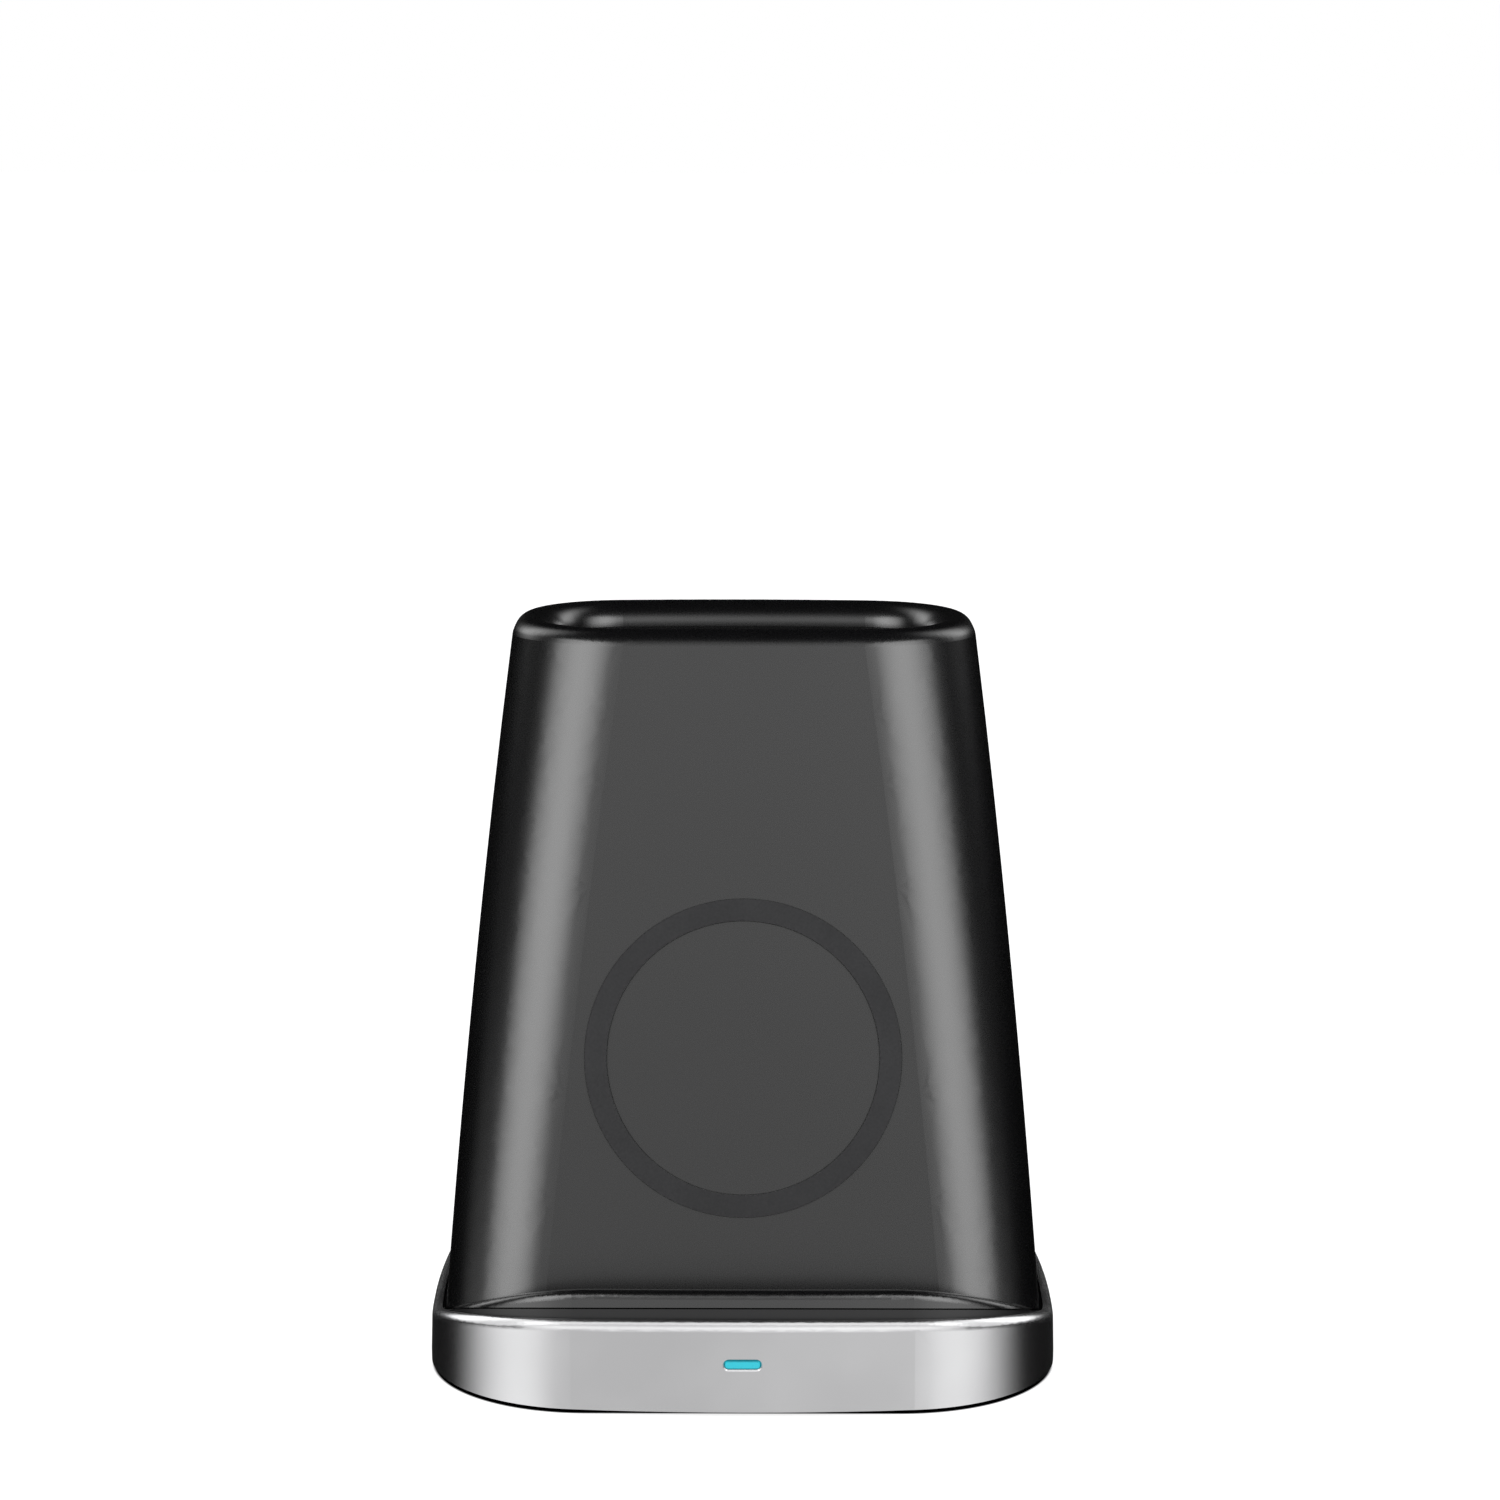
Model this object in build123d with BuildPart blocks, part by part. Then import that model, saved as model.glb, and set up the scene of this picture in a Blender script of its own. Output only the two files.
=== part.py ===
# Pen holder with a slanted wireless charging rest on a silver wedge base.

from build123d import *
from math import asin, cos, degrees, hypot, radians, sin, sqrt, tan
import os

os.makedirs("parts", exist_ok=True)

# X runs across, Y from front to rear and Z up. The origin is the centre of the plane that the
# feet stand on, and the front is -Y. Sizes are millimetres and angles are degrees.

# Outline of the base, seen from above: a square with bowed sides and round corners
base_width = 90.0
side_bow_radius = 223.0
corner_radius = 23.0

# Heights and slopes
overall_height = 102.0
rest_lean = 14.4
foot_lift = 0.6
ring_front_height = 13.1
ring_rear_height = 4.5
ring_blend_radius = 60.0

# Silver base ring
ring_wall = 1.6
ring_round = 1.45
ring_draft = 0.35

# Black base frame inside the ring
ring_gap = 0.1
frame_wall = 1.4
frame_tab_radius = 4.6
frame_tab_height = 2.0
seam_rise = 1.3
seam_extra_tilt = 4.1
seam_gap = 0.2

# Phone rest: ledge, lip and slanted face
ledge_rise = 1.1
ledge_depth = 8.6
ledge_thickness = 2.2
lip_thickness = 2.7
lip_rise = 3.9
lip_flat_length = 40.0
lip_end_radius = 59.0
lip_round = 1.0

# Pen cup, measured at the top of its rim, and the body's front corners at the foot
cup_width = 66.5
cup_depth = 38.8
cup_bow_radius = 200.0
cup_front_corner = 16.6
cup_rear_corner = 16.1
foot_front_corner = 14.0
side_belly = 0.65
rim_thickness = 6.3
rim_outer_round = 2.7
rim_inner_round = 3.5
rim_depth = 6.0
housing_wall = 2.4
liner_wall = 1.8
liner_floor_level = 17.0
liner_draft = 1.2
liner_floor_round = 4.0
mat_thickness = 1.0
mat_gap = 0.3

# Bottom cover, feet, and the screws that clamp cover, frame and housing together
cover_recess = 0.2
cover_thickness = 1.8
foot_diameter = 10.0
foot_recess = 0.7
foot_gap = 0.1
foot_corner_angle = 28.0
foot_edge_distance = 10.5
case_screw_angle = 68.0
case_screw_distance = 16.4
case_post_diameter = 5.6
case_post_height = 9.0
case_screw_shank = 2.2
case_screw_head = 4.4
case_screw_head_height = 1.0
case_screw_bite = 5.0

# Fits that all screws share
screw_sink = 0.1
screw_clearance = 0.3
screw_thread_gap = 0.05
screw_drive_width_share = 0.22
screw_drive_length_share = 0.62
screw_drive_depth_share = 0.5

# Circuit board and its screws
board_width = 44.0
board_thickness = 1.6
board_corner = 3.0
board_standoff = 3.3
board_front_gap = 8.8
board_rear_gap = 2.0
board_screw_inset = 3.4
board_boss_diameter = 4.6
board_screw_shank = 1.6
board_screw_head = 3.2
board_screw_head_height = 1.0
board_screw_bite = 3.0

# Steel weight on the bottom cover
ballast_width = 32.0
ballast_length = 50.0
ballast_thickness = 2.0
ballast_corner = 2.0

# Parts on the board, as width, length and height
chip_size = 5.0
chip_height = 0.9
chip_dot = 0.7
chip_dot_depth = 0.1
driver_size = 4.0
driver_spacing = 7.0
inductor_size = 6.6
inductor_height = 3.0
inductor_core = 5.2
inductor_step = 0.4
capacitor_width = 2.5
capacitor_length = 3.2
capacitor_height = 2.0
capacitor_pitch = 4.2
board_parts_spacing = 10.0

# Socket for the supply plug
socket_width = 8.94
socket_height = 3.16
socket_length = 7.3
socket_wall = 0.3
socket_corner = 1.4
socket_recess = 0.5
socket_gap = 0.3
tongue_width = 6.7
tongue_thickness = 0.7
tongue_recess = 1.2
tongue_block = 1.5
tongue_gap = 0.05

# Status light
light_level = 7.2
light_width = 4.9
light_height = 1.2
light_bevel = 0.42
light_gap = 0.1
light_recess = 0.3
light_block_width = 6.4
light_block_height = 2.4
led_width = 1.6
led_depth = 0.8
led_height = 0.8
led_gap = 0.2

# Charging coils behind the slanted face, their ferrite and the bracket that carries them
coil_outer = 40.0
coil_inner = 20.5
coil_thickness = 1.1
coil_lower_up = 34.0
coil_upper_down = 39.5
coil_gap = 0.15
ferrite_thickness = 0.8
ferrite_margin = 0.75
ferrite_corner = 4.0
bracket_thickness = 1.8
bracket_foot_up = 10.0
bracket_head_down = 26.5
bracket_ear_width = 6.0
bracket_window = 15.0
bracket_post_across = 25.0
bracket_post_low_up = 14.0
bracket_post_high_down = 33.5
bracket_post_diameter = 5.0
bracket_post_root_share = 0.8
bracket_screw_shank = 1.6
bracket_screw_head = 3.4
bracket_screw_head_height = 1.1
bracket_screw_bite = 3.0
lead_diameter = 1.2
lead_spacing = 2.4
lead_bend = 6.0
lead_turn_up = 6.0
lead_gap = 0.3
thermistor_diameter = 2.4
thermistor_thickness = 1.0
thermistor_below = 4.5

# Silicone pads
ledge_pad_length = 52.0
ledge_pad_width = 5.0
ledge_pad_corner = 1.5
pad_thickness = 0.8
pad_recess = 0.4
pad_gap = 0.1
rest_pad_outer = 44.0
rest_pad_band = 3.0

# Overrun of every cut, so that it passes through what it cuts
overrun = 3.0

# Places that follow from the sizes above
half_base = base_width / 2
front_y = -half_base
slope = tan(radians(rest_lean))
seam_slope = tan(radians(rest_lean + seam_extra_tilt))
frame_inset = ring_wall + ring_gap
frame_half = half_base - frame_inset
ring_front_top = foot_lift + ring_front_height
ring_rear_top = foot_lift + ring_rear_height
cover_bottom = foot_lift + cover_recess
cover_top = cover_bottom + cover_thickness
tab_top = cover_top + frame_tab_height
board_bottom = cover_top + board_standoff
board_top = board_bottom + board_thickness
lip_back_y = front_y + frame_inset + lip_thickness
rest_foot_y = lip_back_y + ledge_depth
rest_foot_level = ring_front_top + ledge_rise - (rest_foot_y - front_y) * slope
rim_front_y = rest_foot_y + (overall_height - rest_foot_level) * slope
face_length = (overall_height - rest_foot_level) / cos(radians(rest_lean))
coil_upper_up = face_length - coil_upper_down
bracket_head_up = face_length - bracket_head_down
bracket_post_high_up = face_length - bracket_post_high_down
rim_rear_y = rim_front_y + cup_depth
roof_level = overall_height - rim_depth
liner_bottom = liner_floor_level - liner_wall
seam_front_y = front_y + frame_inset
seam_front_level = ring_front_top - frame_inset * slope + seam_rise
seam_low_y = seam_front_y + (seam_front_level - tab_top) / seam_slope
light_block_front_y = front_y + frame_inset + frame_wall + light_gap
light_bottom = light_level - light_height / 2 + light_gap
light_top = light_bottom + light_block_height

# The slanted rest face, seen from in front, and the ledge, seen from above
rest_plane = Plane(
    origin=(0, rest_foot_y, rest_foot_level),
    x_dir=(1, 0, 0),
    z_dir=(0, -cos(radians(rest_lean)), sin(radians(rest_lean))),
)
ledge_plane = Plane(
    origin=(0, rest_foot_y, rest_foot_level),
    x_dir=(1, 0, 0),
    z_dir=(0, sin(radians(rest_lean)), cos(radians(rest_lean))),
)


def corner_centre():
    """How far a corner arc's centre lies from both middle lines of the base outline."""
    reach = side_bow_radius - half_base
    return (sqrt(2 * (side_bow_radius - corner_radius) ** 2 - reach**2) - reach) / 2


def corner_point(distance, angle):
    """Point at a distance and an angle from the corner arc's centre."""
    centre = corner_centre()
    return (centre + distance * cos(radians(angle)), centre + distance * sin(radians(angle)))


def four_corners(point):
    """The same point in all four corners."""
    return [(across * point[0], along * point[1]) for across in (-1, 1) for along in (-1, 1)]


def bowed_square(inset=0):
    """Sketch the base outline, moved inwards by an inset."""
    half = half_base - inset
    bow = side_bow_radius - inset
    corner = corner_radius - inset
    centre = corner_centre()
    turn = degrees(asin(centre / (bow - corner)))
    with BuildLine() as border:
        for spin in (0, 90, 180, 270):
            CenterArc(Vector(half - bow, 0).rotate(Axis.Z, spin), bow, spin - turn, 2 * turn)
            CenterArc(Vector(centre, centre).rotate(Axis.Z, spin), corner, spin + turn, 90 - 2 * turn)
    make_face(border.edges())


def cup_outline(half_width, front, rear, widest, bow, front_corner, rear_corner):
    """Sketch an outline with a straight front, bowed sides and rear, and round corners."""
    side_x = half_width - bow
    back_y = rear - bow
    reach = bow - rear_corner
    gap = hypot(side_x, widest - back_y)
    climb = sqrt(reach**2 - (gap / 2) ** 2)
    rear_x = side_x / 2 + climb * (widest - back_y) / gap
    rear_y = (widest + back_y) / 2 - climb * side_x / gap
    fore_y = front + front_corner
    fore_x = side_x + sqrt((bow - front_corner) ** 2 - (fore_y - widest) ** 2)
    fore_turn = degrees(asin((fore_y - widest) / (bow - front_corner)))
    side_turn = degrees(asin((rear_y - widest) / reach))
    back_turn = 90 - degrees(asin(rear_x / reach))
    with BuildLine() as border:
        Line((-fore_x, front), (fore_x, front))
        CenterArc((fore_x, fore_y), front_corner, -90, 90 + fore_turn)
        CenterArc((side_x, widest), bow, fore_turn, side_turn - fore_turn)
        CenterArc((rear_x, rear_y), rear_corner, side_turn, back_turn - side_turn)
        CenterArc((0, back_y), bow, back_turn, 180 - 2 * back_turn)
        CenterArc((-rear_x, rear_y), rear_corner, 180 - back_turn, back_turn - side_turn)
        CenterArc((-side_x, widest), bow, 180 - side_turn, side_turn - fore_turn)
        CenterArc((-fore_x, fore_y), front_corner, 180 - fore_turn, 90 + fore_turn)
    make_face(border.edges())


def body_outline(level, inset=0):
    """Sketch the body's section at a height: the base outline at the foot, the cup's at the rim."""
    share = (level - foot_lift) / (overall_height - foot_lift)
    swell = 4 * side_belly * share * (1 - share)
    cup_outline(
        half_width=frame_half + (cup_width / 2 - frame_half) * share + swell - inset,
        front=rest_foot_y + (level - rest_foot_level) * slope + inset / cos(radians(rest_lean)),
        rear=frame_half + (rim_rear_y - frame_half) * share - inset,
        widest=(rim_front_y + rim_rear_y) / 2 * share,
        bow=(side_bow_radius - frame_inset) * (1 - share) + cup_bow_radius * share - inset,
        front_corner=foot_front_corner + (cup_front_corner - foot_front_corner) * share - inset,
        rear_corner=(corner_radius - frame_inset) * (1 - share) + cup_rear_corner * share - inset,
    )


def body_loft(low, high, inset=0, mode=Mode.ADD):
    """Loft the body's shape between two heights."""
    sections = []
    for level in (low, (low + high) / 2, high):
        with BuildSketch(Plane.XY.offset(level)) as section:
            body_outline(level, inset)
        sections.append(section.sketch)
    loft(sections, mode=mode)


def border_edges(faces):
    """Edges around a patch of faces, without those that two of its faces share."""
    edges = [edge for face in faces for edge in face.edges()]
    return [edge for edge in edges if sum(edge.is_same(other) for other in edges) == 1]


def solid_under_seam(gap):
    """Everything below the seam between base frame and housing, raised by a gap."""
    reach = frame_inset + overrun
    start = (front_y - overrun, seam_front_level + reach * seam_slope + gap)
    knee = (seam_low_y, tab_top + gap)
    end = (half_base + overrun, tab_top + gap)
    with BuildPart() as space:
        with BuildSketch(Plane.YZ):
            with BuildLine():
                Polyline(start, knee, end, (end[0], -overrun), (start[0], -overrun), start)
            make_face()
        extrude(amount=half_base + overrun, both=True)
    return space.part


def screw_group(plane, places, head, head_height, shank, length):
    """Screws that go in along a plane's normal, with their heads' tops on the plane."""
    with BuildPart() as screws:
        with BuildSketch(plane):
            with Locations(*places):
                Circle(head / 2)
        extrude(amount=head_height)
        with BuildSketch(plane.offset(head_height)):
            with Locations(*places):
                Circle(shank / 2)
        extrude(amount=length)
        with BuildSketch(plane):
            with Locations(*places):
                Rectangle(head * screw_drive_length_share, head * screw_drive_width_share)
                Rectangle(head * screw_drive_width_share, head * screw_drive_length_share)
        extrude(amount=head_height * screw_drive_depth_share, mode=Mode.SUBTRACT)
    return screws.part


def rear_wall_y(level):
    """How far behind the middle the body's rear wall stands at a height."""
    share = (level - foot_lift) / (overall_height - foot_lift)
    return frame_half + (rim_rear_y - frame_half) * share


board_front_y = front_y + frame_inset + frame_wall + board_front_gap
board_rear_y = rear_wall_y(board_top) - housing_wall - board_rear_gap
board_length = board_rear_y - board_front_y
board_middle_y = (board_front_y + board_rear_y) / 2
board_screw_places = four_corners(
    (board_width / 2 - board_screw_inset, board_length / 2 - board_screw_inset)
)
case_screw_places = four_corners(corner_point(case_screw_distance, case_screw_angle))
foot_places = four_corners(corner_point(corner_radius - foot_edge_distance, foot_corner_angle))
case_screw_level = cover_bottom + screw_sink
case_shank_length = tab_top - case_screw_level - case_screw_head_height + case_screw_bite

# Base ring: a silver band, high in front and low behind, with a rounded top edge
with BuildPart() as base_ring:
    with BuildSketch(Plane.XY.offset(foot_lift)):
        bowed_square()
    with BuildSketch(Plane.XY.offset(ring_front_top)):
        bowed_square(ring_draft)
    loft(ruled=True)
    blend_y = front_y + (ring_front_top - ring_rear_top) / slope
    ring_start = (front_y - overrun, ring_front_top + overrun * slope)
    ring_end = (half_base + overrun, ring_rear_top)
    with BuildSketch(Plane.YZ):
        with BuildLine():
            FilletPolyline(ring_start, (blend_y, ring_rear_top), ring_end, radius=ring_blend_radius)
            Polyline(ring_end, (ring_end[0], -overrun), (ring_start[0], -overrun), ring_start)
        make_face()
    extrude(amount=half_base + overrun, both=True, mode=Mode.INTERSECT)
    ring_tops = base_ring.faces().filter_by(lambda face: face.normal_at().Z > 0.5)
    fillet(border_edges(ring_tops), ring_round)
    with BuildSketch():
        bowed_square(ring_wall)
    extrude(amount=ring_front_top + overrun, mode=Mode.SUBTRACT)
    with BuildSketch(Plane.XZ.offset(-front_y + overrun)):
        with Locations((0, light_level)):
            SlotOverall(light_width, light_height)
    extrude(amount=-ring_wall - 2 * overrun, mode=Mode.SUBTRACT)
    with BuildSketch(Plane.XZ.offset(-front_y - light_bevel)):
        with Locations((0, light_level)):
            SlotOverall(light_width, light_height)
    extrude(amount=2 * light_bevel, taper=-45, mode=Mode.SUBTRACT)

base_ring.part.label = "base_ring"
export_step(base_ring.part, "parts/base_ring.step")

# Base frame: black wall inside the ring, whose top shows as a thin band under the housing
with BuildPart() as frame_tabs:
    with BuildSketch(Plane.XY.offset(cover_top)):
        with Locations(*case_screw_places):
            Circle(frame_tab_radius)
            Circle(case_screw_shank / 2 + screw_clearance, mode=Mode.SUBTRACT)
        with Locations((0, board_middle_y)):
            with Locations(*board_screw_places):
                Circle(board_boss_diameter / 2 + screw_clearance, mode=Mode.SUBTRACT)
    extrude(amount=frame_tab_height)
    with BuildSketch(Plane.XY.offset(cover_top)):
        bowed_square(frame_inset + frame_wall / 2)
    extrude(amount=frame_tab_height, mode=Mode.INTERSECT)

with BuildPart() as base_frame:
    with BuildSketch(Plane.XY.offset(cover_top)):
        bowed_square(frame_inset)
    extrude(amount=seam_front_level)
    with BuildSketch(Plane.XY.offset(cover_top)):
        bowed_square(frame_inset + frame_wall)
    extrude(amount=seam_front_level, mode=Mode.SUBTRACT)
    add(solid_under_seam(0), mode=Mode.INTERSECT)
    add(frame_tabs.part)
    with BuildSketch(Plane.XZ.offset(-front_y)):
        with Locations((0, light_level)):
            SlotOverall(light_width, light_height)
    extrude(amount=-frame_inset - frame_wall - overrun, mode=Mode.SUBTRACT)

base_frame.part.label = "base_frame"
export_step(base_frame.part, "parts/base_frame.step")

# Ledge block: the low front of the housing, with an arched lip along its edge
lip_top = (lip_rise - ledge_rise) * cos(radians(rest_lean))
lip_arc_x = lip_flat_length / 2
lip_arc_y = lip_top - lip_end_radius
lip_turn = degrees(asin((half_base + overrun - lip_arc_x) / lip_end_radius))

with BuildPart() as ledge_channel:
    with BuildSketch(Plane.XY.offset(foot_lift)):
        bowed_square(frame_inset + lip_thickness)
    extrude(amount=base_width)
    with BuildSketch(ledge_plane):
        Rectangle(base_width * 2, base_width * 2)
    extrude(amount=base_width * 2, mode=Mode.INTERSECT)

# Room that the housing leaves for the base frame; inside the frame's wall it reaches lower
with BuildPart() as frame_room:
    add(solid_under_seam(seam_gap))
    with BuildSketch(Plane.XY.offset(tab_top + seam_gap)):
        bowed_square(frame_inset + frame_wall + ring_gap)
    extrude(amount=base_width, mode=Mode.SUBTRACT)

with BuildPart() as ledge_block:
    with BuildSketch(Plane.XY.offset(foot_lift)):
        bowed_square(frame_inset)
    extrude(amount=base_width)
    with BuildSketch(rest_plane):
        with BuildLine():
            Line((-lip_arc_x, lip_top), (lip_arc_x, lip_top))
            right_end = CenterArc((lip_arc_x, lip_arc_y), lip_end_radius, 90, -lip_turn)
            left_end = CenterArc((-lip_arc_x, lip_arc_y), lip_end_radius, 90, lip_turn)
            right_x = (right_end @ 1).X
            left_x = (left_end @ 1).X
            Polyline(right_end @ 1, (right_x, -base_width * 2), (left_x, -base_width * 2), left_end @ 1)
        make_face()
    extrude(amount=base_width * 2, both=True, mode=Mode.INTERSECT)
    lip_faces = ledge_block.faces().filter_by(lambda face: face.normal_at().dot(ledge_plane.z_dir) > 0.5)
    fillet(border_edges(lip_faces), lip_round)
    add(ledge_channel.part, mode=Mode.SUBTRACT)

# Housing: slanted rest face, cup collar with its rolled rim, ledge and lip in one moulding
with BuildPart() as ledge_cavity:
    with BuildSketch(Plane.XY.offset(foot_lift)):
        bowed_square(frame_inset + lip_thickness)
    extrude(amount=base_width)
    with BuildSketch(ledge_plane.offset(-ledge_thickness)):
        Rectangle(base_width * 2, base_width * 2)
    extrude(amount=-base_width * 2, mode=Mode.INTERSECT)

with BuildPart() as housing_form:
    body_loft(foot_lift, overall_height)
    fillet(housing_form.faces().sort_by(Axis.Z)[-1].outer_wire().edges(), rim_outer_round)
    add(ledge_block.part)
    add(frame_room.part, mode=Mode.SUBTRACT)

with BuildPart() as case_posts:
    with BuildSketch(Plane.XY.offset(tab_top)):
        with Locations(*case_screw_places):
            Circle(case_post_diameter / 2)
    extrude(amount=case_post_height)
    add(housing_form.part, mode=Mode.INTERSECT)
    with BuildSketch(Plane.XY.offset(tab_top)):
        with Locations(*case_screw_places):
            Circle(case_post_diameter / 2)
    extrude(amount=2 * seam_gap)

bracket_post_places = [
    (across * bracket_post_across, up)
    for across in (-1, 1)
    for up in (bracket_post_low_up, bracket_post_high_up)
]
coil_front_depth = housing_wall + coil_gap
coil_rear_depth = coil_front_depth + coil_thickness + coil_gap
ferrite_depth = coil_rear_depth + coil_thickness + coil_gap
bracket_depth = ferrite_depth + ferrite_thickness + coil_gap
bracket_rear_depth = bracket_depth + bracket_thickness
bracket_post_root = bracket_post_root_share * housing_wall

with BuildPart() as bracket_posts:
    with BuildSketch(rest_plane.offset(-bracket_post_root)):
        with Locations(*bracket_post_places):
            Circle(bracket_post_diameter / 2)
    extrude(amount=-bracket_depth + bracket_post_root)
    add(housing_form.part, mode=Mode.INTERSECT)

with BuildPart() as housing:
    add(housing_form.part)
    body_loft(foot_lift, roof_level, housing_wall, mode=Mode.SUBTRACT)
    add(ledge_cavity.part, mode=Mode.SUBTRACT)
    with BuildSketch(Plane.XY.offset(roof_level)):
        body_outline(overall_height, rim_thickness)
    extrude(amount=rim_depth, mode=Mode.SUBTRACT)
    fillet(housing.faces().sort_by(Axis.Z)[-1].inner_wires()[0].edges(), rim_inner_round)
    add(case_posts.part)
    with BuildSketch(Plane.XY.offset(tab_top)):
        with Locations(*case_screw_places):
            Circle(case_screw_shank / 2 + screw_thread_gap)
    extrude(amount=case_screw_bite + screw_sink, mode=Mode.SUBTRACT)
    add(bracket_posts.part)
    with BuildSketch(rest_plane.offset(-bracket_depth)):
        with Locations(*bracket_post_places):
            Circle(bracket_screw_shank / 2 + screw_thread_gap)
    extrude(amount=bracket_screw_bite + screw_sink, mode=Mode.SUBTRACT)
    with BuildSketch(rest_plane):
        with Locations((0, coil_lower_up)):
            Circle(rest_pad_outer / 2 + pad_gap)
            Circle(rest_pad_outer / 2 - rest_pad_band - pad_gap, mode=Mode.SUBTRACT)
    extrude(amount=-pad_recess, mode=Mode.SUBTRACT)
    with BuildSketch(ledge_plane):
        with Locations((0, -ledge_depth / 2)):
            RectangleRounded(
                ledge_pad_length + 2 * pad_gap, ledge_pad_width + 2 * pad_gap, ledge_pad_corner
            )
    extrude(amount=-pad_recess, mode=Mode.SUBTRACT)
    with BuildSketch(Plane.XZ.offset(-front_y - frame_inset)):
        with Locations((0, (tab_top + light_top + light_gap) / 2)):
            Rectangle(light_block_width + 2 * light_gap, light_top + light_gap - tab_top)
    extrude(amount=-lip_thickness - overrun, mode=Mode.SUBTRACT)
    with BuildSketch(Plane.XZ.offset(-frame_half + housing_wall + overrun)):
        with Locations((0, board_top + socket_height / 2)):
            RectangleRounded(
                socket_width + 2 * socket_gap, socket_height + 2 * socket_gap, socket_corner + socket_gap
            )
    extrude(amount=-housing_wall - 2 * overrun, mode=Mode.SUBTRACT)

housing.part.label = "housing"
export_step(housing.part, "parts/housing.step")

# Pen cup: inner liner that stands under the rim and carries the pens
with BuildPart() as pen_cup_room:
    with BuildSketch(Plane.XY.offset(liner_floor_level)):
        body_outline(overall_height, rim_thickness + liner_draft)
    with BuildSketch(Plane.XY.offset(roof_level)):
        body_outline(overall_height, rim_thickness)
    loft(ruled=True)
    fillet(pen_cup_room.faces().sort_by(Axis.Z)[0].edges(), liner_floor_round)

with BuildPart() as pen_cup:
    with BuildSketch(Plane.XY.offset(liner_bottom)):
        body_outline(overall_height, rim_thickness + liner_draft - liner_wall)
    with BuildSketch(Plane.XY.offset(roof_level)):
        body_outline(overall_height, rim_thickness - liner_wall)
    loft(ruled=True)
    add(pen_cup_room.part, mode=Mode.SUBTRACT)

pen_cup.part.label = "pen_cup"
export_step(pen_cup.part, "parts/pen_cup.step")

# Cup mat: soft sheet on the cup's floor
with BuildPart() as cup_mat:
    with BuildSketch(Plane.XY.offset(liner_floor_level)):
        body_outline(overall_height, rim_thickness + liner_draft + liner_floor_round + mat_gap)
    extrude(amount=mat_thickness)

cup_mat.part.label = "cup_mat"
export_step(cup_mat.part, "parts/cup_mat.step")

# Bottom cover: plate with foot recesses, screw holes and bosses for the board
with BuildPart() as bottom_cover:
    with BuildSketch(Plane.XY.offset(cover_bottom)):
        bowed_square(frame_inset)
    extrude(amount=cover_thickness)
    with BuildSketch(Plane.XY.offset(cover_top)):
        with Locations((0, board_middle_y)):
            with Locations(*board_screw_places):
                Circle(board_boss_diameter / 2)
    extrude(amount=board_standoff)
    with BuildSketch(Plane.XY.offset(board_bottom)):
        with Locations((0, board_middle_y)):
            with Locations(*board_screw_places):
                Circle(board_screw_shank / 2 + screw_thread_gap)
    extrude(amount=-board_screw_bite - screw_sink, mode=Mode.SUBTRACT)
    with BuildSketch(Plane.XY.offset(cover_bottom)):
        with Locations(*foot_places):
            Circle(foot_diameter / 2 + foot_gap)
    extrude(amount=foot_recess, mode=Mode.SUBTRACT)
    with BuildSketch(Plane.XY.offset(cover_bottom)):
        with Locations(*case_screw_places):
            Circle(case_screw_head / 2 + screw_clearance)
    extrude(amount=screw_sink + case_screw_head_height, mode=Mode.SUBTRACT)
    with BuildSketch(Plane.XY.offset(cover_bottom)):
        with Locations(*case_screw_places):
            Circle(case_screw_shank / 2 + screw_clearance)
    extrude(amount=cover_thickness, mode=Mode.SUBTRACT)

bottom_cover.part.label = "bottom_cover"
export_step(bottom_cover.part, "parts/bottom_cover.step")

with BuildPart() as case_screws:
    add(
        screw_group(
            Plane.XY.offset(case_screw_level),
            case_screw_places,
            case_screw_head,
            case_screw_head_height,
            case_screw_shank,
            case_shank_length,
        )
    )

case_screws.part.label = "case_screws"
export_step(case_screws.part, "parts/case_screws.step")

# Ballast: steel plate that keeps the holder from tipping
with BuildPart() as ballast_plate:
    with BuildSketch(Plane.XY.offset(cover_top)):
        RectangleRounded(ballast_width, ballast_length, ballast_corner)
    extrude(amount=ballast_thickness)

ballast_plate.part.label = "ballast_plate"
export_step(ballast_plate.part, "parts/ballast_plate.step")

# Main board and its screws
with BuildPart() as main_board:
    with BuildSketch(Plane.XY.offset(board_bottom)):
        with Locations((0, board_middle_y)):
            RectangleRounded(board_width, board_length, board_corner)
            with Locations(*board_screw_places):
                Circle(board_screw_shank / 2 + screw_clearance, mode=Mode.SUBTRACT)
        with Locations(*case_screw_places):
            Circle(case_post_diameter / 2 + screw_clearance, mode=Mode.SUBTRACT)
    extrude(amount=board_thickness)

main_board.part.label = "main_board"
export_step(main_board.part, "parts/main_board.step")

board_screw_plane = Plane(
    origin=(0, board_middle_y, board_top + board_screw_head_height),
    x_dir=(1, 0, 0),
    z_dir=(0, 0, -1),
)

with BuildPart() as board_screws:
    add(
        screw_group(
            board_screw_plane,
            board_screw_places,
            board_screw_head,
            board_screw_head_height,
            board_screw_shank,
            board_thickness + board_screw_bite,
        )
    )

board_screws.part.label = "board_screws"
export_step(board_screws.part, "parts/board_screws.step")

# Chips, inductor and capacitors stand on the board, placed from its middle
board_plane = Plane(origin=(0, board_middle_y, board_top))

with BuildPart() as control_chip:
    with BuildSketch(board_plane):
        Rectangle(chip_size, chip_size)
    extrude(amount=chip_height)
    with BuildSketch(board_plane.offset(chip_height)):
        with Locations((-chip_size / 2 + chip_dot, chip_size / 2 - chip_dot)):
            Circle(chip_dot / 2)
    extrude(amount=-chip_dot_depth, mode=Mode.SUBTRACT)

control_chip.part.label = "control_chip"
export_step(control_chip.part, "parts/control_chip.step")

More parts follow.
